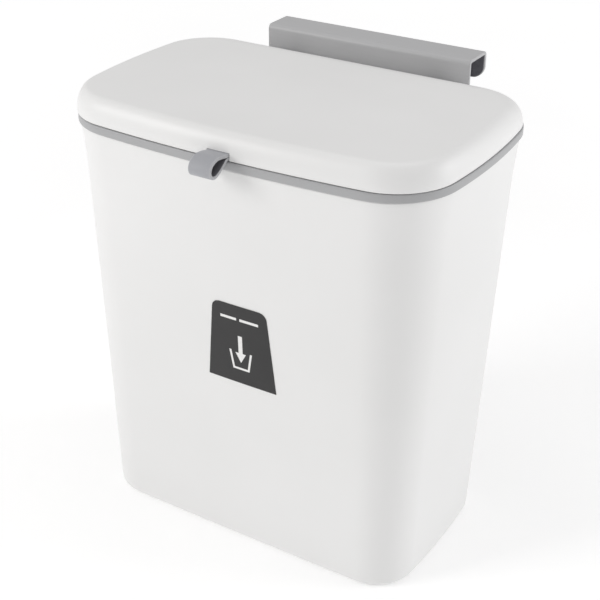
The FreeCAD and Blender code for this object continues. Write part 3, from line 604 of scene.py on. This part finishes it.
def carved(mesh, shells):
    """The mesh less each of the closed shells in turn."""
    for shell in shells:
        blank = bpy.data.objects.new("blank", mesh)
        tool = bpy.data.objects.new("tool", mesh_of("tool", [shell]))
        for thing in (blank, tool):
            bpy.context.scene.collection.objects.link(thing)
        cut = blank.modifiers.new("cut", "BOOLEAN")
        cut.operation = "DIFFERENCE"
        cut.solver = "EXACT"
        cut.object = tool
        mesh = bpy.data.meshes.new_from_object(blank.evaluated_get(bpy.context.evaluated_depsgraph_get()))
        for thing in (blank, tool):
            bpy.data.objects.remove(thing)
    return mesh


def block(low, high):
    """A closed box between two corners."""
    (x0, y0, z0), (x1, y1, z1) = low, high
    return skin([[(x0, y0, z), (x1, y0, z), (x1, y1, z), (x0, y1, z)] for z in (z0, z1)])


inner_start = math.asin(1 - (lid_high - lid_wall - lid_low - lid_edge) / round_up)
lid_rows = [lid_loop(lid_wall + crown_inset, lid_high - lid_wall, 1)]
lid_rows += [rolled(lid_wall, angle) for angle in np.linspace(math.pi / 2, inner_start, 18)]
lid_rows += [lid_loop(lid_wall - lid_edge * (1 - c), lid_low + lid_edge * (1 - s)) for s, c in quarter(4)[1:]]
lid_rows += [lid_loop(lid_edge * (1 - s), lid_low + lid_edge * (1 - c)) for s, c in quarter(4)]
lid_rows += [rolled(0, angle) for angle in np.linspace(0, math.pi / 2, 34)[1:]]
lid_rows += [lid_loop(crown_inset, lid_high, 1)]
far_x = rim_half_width + past_side
far_y = rim_half_depth + past_side
cut_low = lid_low - past_edge
sector_ends = ((-far_x, swing_radius), (far_x, swing_radius), (far_x, swing_far), (-far_x, swing_far))
sector = [[(x, hinge_y + radius * s, hinge_z - radius * c) for x, radius in sector_ends]
          for s, c in quarter(24)]
windows = [block((min(side * window_in, side * window_out), hinge_y - ear_clear, cut_low),
                 (max(side * window_in, side * window_out), far_y, hinge_z + ear_clear)) for side in (-1, 1)]
slot = block((-strap_slot_half, -rim_half_depth - past_edge, cut_low),
             (strap_slot_half, strap_slot_deep - rim_half_depth, strap_slot_high))
lid = piece("lid_cover", carved(mesh_of("lid_cover", [skin(lid_rows)]), [skin(sector), *windows, slot]),
            white_plastic, "lid")
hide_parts("lid_shell")

# ---------------------------------------------------------------- knuckles and screw bosses inside the lid
# Moulded with the lid in white polypropylene: a barrel outside each ear, bored for the pin, and the posts
# that take the liner's six screws and the clamp's two.
knuckle_in = 0.0544
knuckle_out = 0.0639
pin_end = 0.0619
boss_radius = 0.0034
clamp_boss_radius = 0.0027
boss_sunk = 0.0004
boss_top = lid_high - lid_wall + boss_sunk
liner_screw_x = 0.0840
liner_screw_ys = (-0.0460, 0.0380)
clamp_screw_x = 0.0115
liner_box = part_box("lid_liner")
clamp_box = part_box("strap_clamp")
liner_places = [(side * liner_screw_x, y) for side in (-1, 0, 1) for y in liner_screw_ys]
clamp_y = (clamp_box[0].y + clamp_box[1].y) / 2
clamp_places = [(side * clamp_screw_x, clamp_y) for side in (-1, 1)]


def turned(profile, middle, axis, points=40):
    """Loops turned about the x axis (0) or z axis (2) through middle, from a profile of (along, radius)."""
    angles = np.linspace(0, 2 * math.pi, points, endpoint=False)
    along, radius = np.array(profile, float).T[:, :, None]
    first, second = radius * np.cos(angles), radius * np.sin(angles)
    level = along + 0 * first
    return np.array(middle) + np.stack([level, first, second] if axis == 0 else [first, second, level], -1)


fittings = []
for side in (-1, 1):
    barrel = [(pin_end, bore_radius / 3), (pin_end, bore_radius), (knuckle_in + small_edge, bore_radius)]
    barrel += [(knuckle_in, bore_radius + small_edge)]
    barrel += [(x, knuckle_radius - inset) for x, inset in eased(knuckle_in, knuckle_out, small_edge)]
    barrel += [(knuckle_out, knuckle_radius / 3)]
    fittings.append(skin(turned([(side * x, radius) for x, radius in barrel], (0, hinge_y, hinge_z), 0)))
for places, radius, low in ((liner_places, boss_radius, liner_box[1].z),
                            (clamp_places, clamp_boss_radius, clamp_box[1].z)):
    post = [(low, radius - small_edge), (low + small_edge, radius)]
    post += [(boss_top, radius), (boss_top, radius / 2)]
    fittings += [skin(turned(post, (x, y, 0), 2)) for x, y in places]
piece("lid_knuckles", fittings, white_plastic, "lid")

# ---------------------------------------------------------------- hinge pins
# Plain pins of drawn steel with a domed head and a tapered tip, pushed through each ear from the bin's middle
# into the lid's barrel.
pin_head_radius = 0.0024
pin_head_thickness = 0.0015
pin_head_rim = 0.0005
pin_head_edge = 0.0001
pin_taper = ((0, 0.0006), (0.0003, 0.0011), (0.0009, pin_radius))
pin_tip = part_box("hinge_pin_right")[1].x
pin_head_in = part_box("hinge_pin_right")[0].x
pin_head_out = pin_head_in + pin_head_thickness


def bright_steel(place):
    """Drawn steel: bright, with fine marks round it."""
    drawing = place.noise(2600, 2)
    return {
        "Base Color": drawing.spread(0.3, 0.7).blend((0.52, 0.53, 0.55), (0.62, 0.63, 0.65)),
        "Metallic": 1.0,
        "Roughness": drawing.spread(0.3, 0.7, 0.24, 0.36),
        "Normal": drawing.bump(0.15, 0.00002),
    }


steel = finish("bright_steel", bright_steel)
dome_start = pin_head_out - pin_head_rim
pin_profile = [(pin_tip - back, radius) for back, radius in pin_taper]
pin_profile += [(pin_head_out, pin_radius), (pin_head_out, pin_head_radius - pin_head_edge)]
pin_profile += [(pin_head_out - pin_head_edge, pin_head_radius)]
pin_profile += [(dome_start - (dome_start - pin_head_in) * s, pin_head_radius * c)
                for s, c in quarter(10)[:-1]]
for name, side in (("left", -1), ("right", 1)):
    shell = skin(turned([(side * x, radius) for x, radius in pin_profile], (0, hinge_y, hinge_z), 0))
    pin = piece("pin_" + name, [shell], steel, "lid")
    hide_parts("hinge_pin_" + name)

# ---------------------------------------------------------------- liner under the lid
# A flat panel moulded in white polypropylene, with a shallow sunken field in its middle. It closes the lid
# from below, and six screws hold it to the lid's posts.
liner_inset = 0.0125
liner_back_inset = 0.0200
liner_edge = 0.0005
liner_corner = 0.0090
liner_crown = 0.0060
field_inset = 0.0240
field_depth = 0.0007
field_slope = 0.0020
liner_shape = inward(rim_shape, liner_inset, liner_back_inset)


def panel(inset, height):
    """A loop of the liner; its corners stay round however far in it lies."""
    shape = inward(liner_shape, inset)
    shape[3:5] = np.maximum(shape[3:5], liner_corner)
    return loop(shape, height)


liner_low, liner_high = liner_box[0].z, liner_box[1].z
liner_rows = [panel(liner_crown, liner_high)]
liner_rows += [panel(inset, height) for height, inset in eased(liner_low, liner_high, liner_edge)[::-1]]
liner_rows += [panel(field_inset + field_slope * share, liner_low + field_depth * share**2 * (3 - 2 * share))
               for share in np.linspace(0, 1, 9)]
liner_rows += [panel(field_inset + 2 * field_slope, liner_low + field_depth)]
liner = piece("lid_panel", [skin(liner_rows)], white_plastic, "lid")
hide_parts("lid_liner")

# ---------------------------------------------------------------- gasket under the liner
# A seal of soft pale elastomer that runs round under the liner's edge, flat where it is stuck on, and rounded
# where it meets the ring.
gasket_low, gasket_high = (corner.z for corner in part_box("lid_gasket"))
gasket_edge = 0.0010
gasket_half = 0.0015


def soft_seal(place):
    """Pale thermoplastic elastomer: matt, and slightly uneven."""
    clouds = place.noise(60, 3).spread(0.3, 0.7)
    return {
        "Base Color": clouds.blend((0.50, 0.51, 0.52), (0.57, 0.58, 0.59)),
        "Roughness": clouds.spread(0, 1, 0.62, 0.72),
        "Normal": place.noise(1400, 2).bump(0.2, 0.00004),
    }


lips = [(gasket_half * (1 - math.cos(a)), gasket_low + gasket_half * (1 - math.sin(a)))
        for a in np.linspace(0, math.pi, 13)]
lips += [(2 * gasket_half, gasket_high), (0, gasket_high)]
gasket_rows = [loop(inward(liner_shape, gasket_edge + inset), height) for inset, height in lips]
gasket = piece("lid_seal", [skin(gasket_rows, closed=True)], finish("soft_seal", soft_seal), "lid")
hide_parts("lid_gasket")

# ---------------------------------------------------------------- screws
# Small pan-head screws of steel with a cross recess, driven upwards: six hold the liner, and two hold the
# strap clamp.
screw_head_radius = 0.0026
screw_head_height = 0.0013
head_flat = 0.0022
head_dish = 0.00025
head_round = 0.0004
screw_radius = 0.0013
screw_taper = 0.0016
screw_point = 0.0002
recess_reach = 0.0015
recess_half = 0.00038
recess_depth = 0.0009
recess_face = 0.0003


def screw(x, y, low, high):
    """A screw's loops, from the middle of its head up. The recess lifts the points that lie in its cross."""
    head = [(head_dish * share**2, head_flat * share) for share in np.linspace(0.06, 1, 15)]
    head += [(head_dish + head_round * (1 - c), head_flat + head_round * s) for s, c in quarter(5)[1:]]
    body = [(screw_head_height, screw_head_radius), (screw_head_height, screw_radius)]
    body += [(high - low - screw_taper, screw_radius), (high - low, screw_point)]
    loops = turned(head + body, (0, 0, 0), 2, 64)
    flat = np.abs(loops[..., :2])
    cross = (flat.min(-1) < recess_half) & (flat.max(-1) < recess_reach) & (loops[..., 2] < recess_face)
    loops[..., 2] += recess_depth * cross
    return skin(loops + [x, y, low])


for held, places in (("liner", liner_places), ("strap", clamp_places)):
    low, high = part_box(held + "_screws")
    shells = [screw(x, y, low.z, high.z) for x, y in places]
    group = piece(held + "_fixings", shells, steel, "lid", sharp=30)
    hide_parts(held + "_screws")

# ---------------------------------------------------------------- pull strap
# A moulded strap of grey silicone. It comes out through the lid's slot, folds into a teardrop loop in front
# of the ring's band, and goes back in. Its long end runs on inside the lid to the clamp.
strap_thickness = 0.0019
strap_edge = 0.0004
strap_route = [(-0.0664, 0.2669), (-0.0700, 0.2669), (-0.0735, 0.26685), (-0.0760, 0.2662), (-0.0785, 0.2659),
               (-0.0808, 0.2663), (-0.0840, 0.2669), (-0.0878, 0.2670), (-0.0918, 0.2655), (-0.0939, 0.2628),
               (-0.0938, 0.2600), (-0.0921, 0.2583), (-0.0893, 0.2580), (-0.0857, 0.2595), (-0.0822, 0.2617),
               (-0.0797, 0.2636), (-0.0772, 0.2640), (-0.0754, 0.2640)]


def smooth(points, steps):
    """A smooth line through points, which is a cubic between each two of them.

    Its slope at a point is half the step from the point before to the point after.
    """
    points = np.array(points, float)
    points = np.vstack([2 * points[0] - points[1], points, 2 * points[-1] - points[-2]])
    u = np.linspace(0, 1, steps, endpoint=False)[:, None, None]
    a, b, c, d = points[:-3], points[1:-2], points[2:-1], points[3:]
    line = 0.5 * (2 * b + (c - a) * u + (2 * a - 5 * b + 4 * c - d) * u**2 + (3 * b - a - 3 * c + d) * u**3)
    return np.vstack([line.transpose(1, 0, 2).reshape(-1, 2), points[-2]])


def bent(path, half_width, half_thickness, edge):
    """A strip carried along a path (y, z), which is the middle of its thickness.

    Each loop runs round a rectangle with rounded corners: x goes across the bin, n along the path's normal.
    Half width and half thickness are numbers, or arrays with one for each point of the path.
    """
    path = np.array(path, float)
    along = np.gradient(path, axis=0)
    along /= np.linalg.norm(along, axis=1)[:, None]
    across = np.column_stack([-along[:, 1], along[:, 0]])
    width = np.broadcast_to(half_width, len(path))[:, None]
    thick = np.broadcast_to(half_thickness, len(path))[:, None]
    corner = np.minimum(edge, thick * 0.98)
    angles = np.concatenate([np.linspace(k, k + 1, 5) for k in range(4)]) * math.pi / 2
    sign_x = np.repeat([1, -1, -1, 1], 5)
    sign_n = np.repeat([1, 1, -1, -1], 5)
    x = sign_x * (width - corner) + corner * np.cos(angles)
    n = sign_n * (thick - corner) + corner * np.sin(angles)
    return np.stack([x, path[:, :1] + n * across[:, :1], path[:, 1:] + n * across[:, 1:]], -1)


def rounded_ends(path, edge):
    """How far the two faces of a strip draw in at each point, for ends rounded by edge.

    It is edge at an end, and 0 from a distance of edge on. Between, it is edge, less the root of its square
    less that of the distance still to go.
    """
    lengths = np.concatenate([[0], np.cumsum(np.linalg.norm(np.diff(path, axis=0), axis=1))])
    to_end = np.minimum(lengths, lengths[-1] - lengths)
    return edge - np.sqrt(edge**2 - np.clip(edge - to_end, 0, edge)**2)


def grey_silicone(place):
    """Blue-grey silicone: matt and soft to the light, with a little dust and a painted highlight on its side
    edges.

    The inside of the loop is painted darker: painted shade in the loop's hollow.
    """
    across = place.node("ShaderNodeSeparateXYZ", {}, {"Vector": place})
    off = across.node("ShaderNodeMath", {"operation": "ABSOLUTE"}, {0: across})
    # Painted highlight: the strap's side edges are made paler, and a little rougher.
    rim = off.spread(strap_half - 0.0007, strap_half - 0.0001)
    dust = place.noise(700, 3).spread(0.60, 0.74)
    outside = (rim + dust * 0.25).blend((0.378, 0.383, 0.406), (0.505, 0.510, 0.526))
    # Painted shade: this attribute marks the loop's inner faces, which are darkened.
    inside = place.node("ShaderNodeAttribute", {"attribute_name": "inside"}, {}, output=2)
    return {
        "Base Color": inside.blend(outside, (0.165, 0.163, 0.178)),
        "Roughness": rim.spread(0, 1, 0.56, 0.62),
        "IOR": 1.42,
        "Sheen Weight": 0.15,
        "Sheen Roughness": 0.4,
        "Normal": place.noise(1300, 2).bump(0.15, 0.00005),
    }


silicone = finish("grey_silicone", grey_silicone)
strap_path = smooth(strap_route, 8)
strap_drawn = rounded_ends(strap_path, strap_thickness / 2 * 0.9)
strap_loops = bent(strap_path, strap_half - strap_drawn / 2, strap_thickness / 2 - strap_drawn, strap_edge)
strap_mesh = mesh_of("strap_loop", [skin(strap_loops)])
# Painted shade inside the loop: rises to 1 across the loop's inner face, which is darkened, and is 0
# elsewhere.
painted_inner_shade = np.concatenate([[0, 0, 0, 0.5, 1, 1, 0.5, 0, 0, 0], np.zeros(10)])
inside = np.concatenate([np.tile(painted_inner_shade, len(strap_loops)), np.zeros(2)])
strap_mesh.attributes.new("inside", "FLOAT", "POINT").data.foreach_set("value", inside.astype(np.float32))
strap = piece("strap_loop", strap_mesh, silicone, "lid")
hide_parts("pull_strap")

# ---------------------------------------------------------------- strap clamp
# A small bar moulded in grey polypropylene, inside the lid at its front, with a round spacer for each of its
# two screws, which press it up against the strap's tail.
clamp_bar_high = 0.2659
clamp_corner = 0.0012
spacer_sunk = 0.0005
clamp_half = clamp_box[1].x
clamp_front, clamp_back = clamp_box[0].y, clamp_box[1].y


def bar_loop(inset, height):
    """A loop of the bar, a rectangle moved in by inset."""
    return rectangle(clamp_half - inset, clamp_front + inset, clamp_back - inset, clamp_corner, height)


shells = [skin([bar_loop(inset, z) for z, inset in eased(clamp_box[0].z, clamp_bar_high, small_edge)])]
spacer = [(clamp_bar_high - spacer_sunk, clamp_boss_radius), (clamp_box[1].z, clamp_boss_radius)]
shells += [skin(turned(spacer, (x, y, 0), 2)) for x, y in clamp_places]
clamp = piece("clamp_bar", shells, grey_plastic, "lid")
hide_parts("strap_clamp")

# ---------------------------------------------------------------- over-door hook
# One strip of grey plastic sheet, bent four times: a tongue that goes up into the bucket's rail, a fold below
# it, a plate up the bin's back, a top that lies on the door, and a short leg with two rounded corners.
sheet_half = 0.0011
hook_low, hook_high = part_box("door_hook")
hook_half = hook_high.x
tongue_half = 0.0520
tongue_y = hook_low.y + sheet_half
plate_y = 0.0817
leg_y = hook_high.y - sheet_half
top_z = hook_high.z - sheet_half
fold_z = hook_low.z + sheet_half
tongue_gap = 0.00035
tongue_tip = slot_top - tongue_gap
shoulder_z = 0.19555
shoulder_radius = 0.0030
leg_length = 0.0175
leg_low = top_z + sheet_half - leg_length
leg_corner = 0.0080
bend_radius = 0.0019
sheet_edge = 0.0005


def hook_grey(place):
    """Grey moulded sheet: satin, with a fine grain and faint draw marks along it."""
    stretch = place.node("ShaderNodeMapping", {}, {"Vector": place, "Scale": (3, 60, 60)})
    draw = stretch.noise(12, 3).spread(0.3, 0.7)
    grain = place.noise(1500, 2)
    return {
        "Base Color": draw.blend((0.449, 0.449, 0.455), (0.465, 0.465, 0.472)),
        "Roughness": draw.spread(0, 1, 0.41, 0.45) + (grain - 0.5) * 0.08,
        "IOR": 1.49,
        "Normal": (grain * 0.9 + draw * 0.1).bump(0.2, 0.00005),
    }


def folded(corners, radius):
    """A path (y, z) along square corners, each turned on an arc of that radius.

    An arc's centre lies one radius back from its corner and one radius on.
    """
    corners = [np.array(corner, float) for corner in corners]
    path = [corners[0]]
    for before, corner, after in zip(corners, corners[1:], corners[2:]):
        back, on = (other - corner for other in (before, after))
        back, on = back / np.linalg.norm(back), on / np.linalg.norm(on)
        centre = corner + (back + on) * radius
        path += [centre - on * radius * c - back * radius * s for s, c in quarter(9)]
    return np.vstack(path + [corners[-1]])


hook_path = folded([(tongue_y, tongue_tip), (tongue_y, fold_z), (plate_y, fold_z),
                    (plate_y, top_z), (leg_y, top_z), (leg_y, leg_low)], bend_radius)
lengths = np.concatenate([[0], np.cumsum(np.linalg.norm(np.diff(hook_path, axis=0), axis=1))])
total = lengths[-1]
plate_start = lengths[np.argmax((hook_path[:, 0] > plate_y - 1e-6) & (hook_path[:, 1] > fold_z))]
shoulder_at = plate_start + shoulder_z - hook_path[np.argmax(lengths >= plate_start), 1]
stops = np.unique(np.concatenate([
    lengths, np.linspace(0, total, 160),
    [shoulder_at - 1e-6], shoulder_at + np.linspace(0, shoulder_radius, 9),
    total - leg_corner * (1 - quarter(14)[:, 0]),
    quarter(8)[:, 1] * sheet_edge, total - quarter(8)[:, 1] * sheet_edge,
]))
stops = stops[np.concatenate([[True], np.diff(stops) > 5e-7])]
path = np.column_stack([np.interp(stops, lengths, hook_path[:, k]) for k in (0, 1)])


def corner_cut(distance, radius):
    """How far a corner of that radius draws a side edge in, at a distance from the end.

    It is the radius, less the root of its square less that of the distance still to go.
    """
    return radius - np.sqrt(radius**2 - np.clip(radius - distance, 0, radius)**2)


narrow = tongue_half - corner_cut(stops, shoulder_radius)
wide = hook_half - corner_cut(stops - shoulder_at, shoulder_radius) - corner_cut(total - stops, leg_corner)
widths = np.where(stops < shoulder_at - 5e-7, narrow, wide)
thin = sheet_half - rounded_ends(path, sheet_edge)
hook = piece("hook_sheet", [skin(bent(path, widths, thin, sheet_edge))],
             finish("hook_grey", hook_grey), "hook")
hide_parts("door_hook")

# ---------------------------------------------------------------- foam pads in the hook's channel
# Thin strips of dark closed-cell foam, stuck to the plate's back and the leg's front, so that the hook
# doesn't mark the door
# or rattle on it. Their dark colour, which reaches to the leg's edges, also stands in for the shade inside
# the channel:
# partly real pads, partly painted shade.
pad_edge = 0.00025
pad_margin = 0.0004
pad_gap = 0.0002
pad_corner = 0.0010
pad_top = top_z - sheet_half - pad_gap


def dark_foam(place):
    """Closed-cell foam: dark and matt, with small cells. Its dark colour is also painted shade in the hook's
    channel.
    """
    cells = place.node("ShaderNodeTexVoronoi", {}, {"Vector": place, "Scale": 1400})
    tone = place.noise(300, 3).spread(0.3, 0.7)
    return {
        "Base Color": tone.blend((0.118, 0.117, 0.130), (0.150, 0.149, 0.164)),
        "Roughness": 0.9,
        "Normal": cells.bump(0.5, 0.0001),
    }


# Partly painted shade: the pads' dark colour also stands in for the shade inside the hook's channel.
foam = finish("dark_foam", dark_foam)
for name, foot, corner in (("front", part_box("hook_pad_front")[0].z, pad_corner),
                           ("back", leg_low + pad_margin, leg_corner - pad_margin)):
    low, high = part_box("hook_pad_" + name)
    rows = []
    for y, inset in eased(low.y, high.y, pad_edge):
        flat = rectangle(hook_half - pad_margin - inset, foot + inset, pad_top + corner, corner, y)
        rows.append(np.column_stack([flat[:, 0], flat[:, 2], np.minimum(flat[:, 1], pad_top - inset)]))
    pad = piece("pad_" + name, [skin(rows)], foam, "hook")
    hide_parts("hook_pad_" + name)

# ---------------------------------------------------------------- studio
# A plain floor of white board that the bin stands on, three large softboxes and an even pale surrounding.
# The camera stands in front of the bin, above it and to the right.
floor_half = 12.0
floor_gap = 0.0001
floor_line = np.linspace(-floor_half, floor_half, 9)
world_colour = (1, 0.996, 0.996, 1)
world_strength = 0.50
softboxes = (
    ("left_softbox", (-1.20, -1.35, 1.05), 0.8, 12.2, (1.0, 0.992, 0.982)),
    ("right_softbox", (1.60, 0.95, 0.60), 1.0, 10.2, (0.990, 0.993, 1.0)),
    ("top_softbox", (0.0, 0.1, 1.9), 1.4, 6.9, (1.0, 0.995, 0.996)),
)
softbox_target = (0, 0, 0.15)
camera_place = (0.36349, -0.58495, 0.52135)
camera_target = (-0.0068, 0, 0.14234)
camera_roll = math.radians(-0.138)
camera_sensor = 36
camera_lens = 76.208
camera_shift = (0.02354, -0.0074)

xs, ys = np.meshgrid(floor_line, floor_line)
index = np.arange(xs.size).reshape(xs.shape)
quads = np.stack([index[:-1, :-1], index[:-1, 1:], index[1:, 1:], index[1:, :-1]], -1).reshape(-1, 4)
corners = np.column_stack([xs.ravel(), ys.ravel(), np.full(xs.size, base_z - floor_gap)])
floor_mesh = bpy.data.meshes.new("floor")
floor_mesh.from_pydata(corners.tolist(), [], quads.tolist())
floor = bpy.data.objects.new("floor", floor_mesh)
bpy.context.scene.collection.objects.link(floor)


def white_floor(place):
    """Seamless white board, lit a little from within, and more so further out, so that it stays pale."""
    away = place.node("ShaderNodeVectorMath", {"operation": "LENGTH"}, {0: place}, output=1)
    return {
        "Base Color": place.noise(3, 2).spread(0.3, 0.7).blend((0.90, 0.90, 0.90), (0.92, 0.92, 0.92)),
        "Roughness": 0.9,
        "Specular IOR Level": 0.1,
        "Emission Color": away.spread(0.50, 1.20).blend((0.65, 0.65, 0.65), (1, 1, 1)),
        "Emission Strength": 0.36,
    }


floor_mesh.materials.append(finish("white_floor", white_floor))

world = bpy.data.worlds.new("studio")
bpy.context.scene.world = world
world.use_nodes = True
world.node_tree.nodes["Background"].inputs["Color"].default_value = world_colour
world.node_tree.nodes["Background"].inputs["Strength"].default_value = world_strength


def look(thing, place, target, roll=0.0):
    """Put a light or the camera at a place, facing a target, turned by roll about its line of sight."""
    back = np.array(place, float) - np.array(target, float)
    back /= np.linalg.norm(back)
    right = np.cross([0, 0, 1], back)
    right /= np.linalg.norm(right)
    up = np.cross(back, right)
    c, s = math.cos(roll), math.sin(roll)
    turn = np.column_stack([c * right + s * up, c * up - s * right, back])
    thing.matrix_world = Matrix.LocRotScale(place, Matrix(turn.tolist()), None)


for name, place, width, power, tint in softboxes:
    light = bpy.data.lights.new(name, "AREA")
    light.shape = "SQUARE"
    light.size = width
    light.energy = power
    light.color = tint
    lamp = bpy.data.objects.new(name, light)
    bpy.context.scene.collection.objects.link(lamp)
    look(lamp, place, softbox_target)

lens = bpy.data.cameras.new("camera")
lens.sensor_width = camera_sensor
lens.lens = camera_lens
lens.shift_x, lens.shift_y = camera_shift
camera = bpy.data.objects.new("camera", lens)
bpy.context.scene.collection.objects.link(camera)
look(camera, camera_place, camera_target, camera_roll)
bpy.context.scene.camera = camera
bpy.context.scene.view_settings.view_transform = "Standard"

bpy.context.view_layer.update()
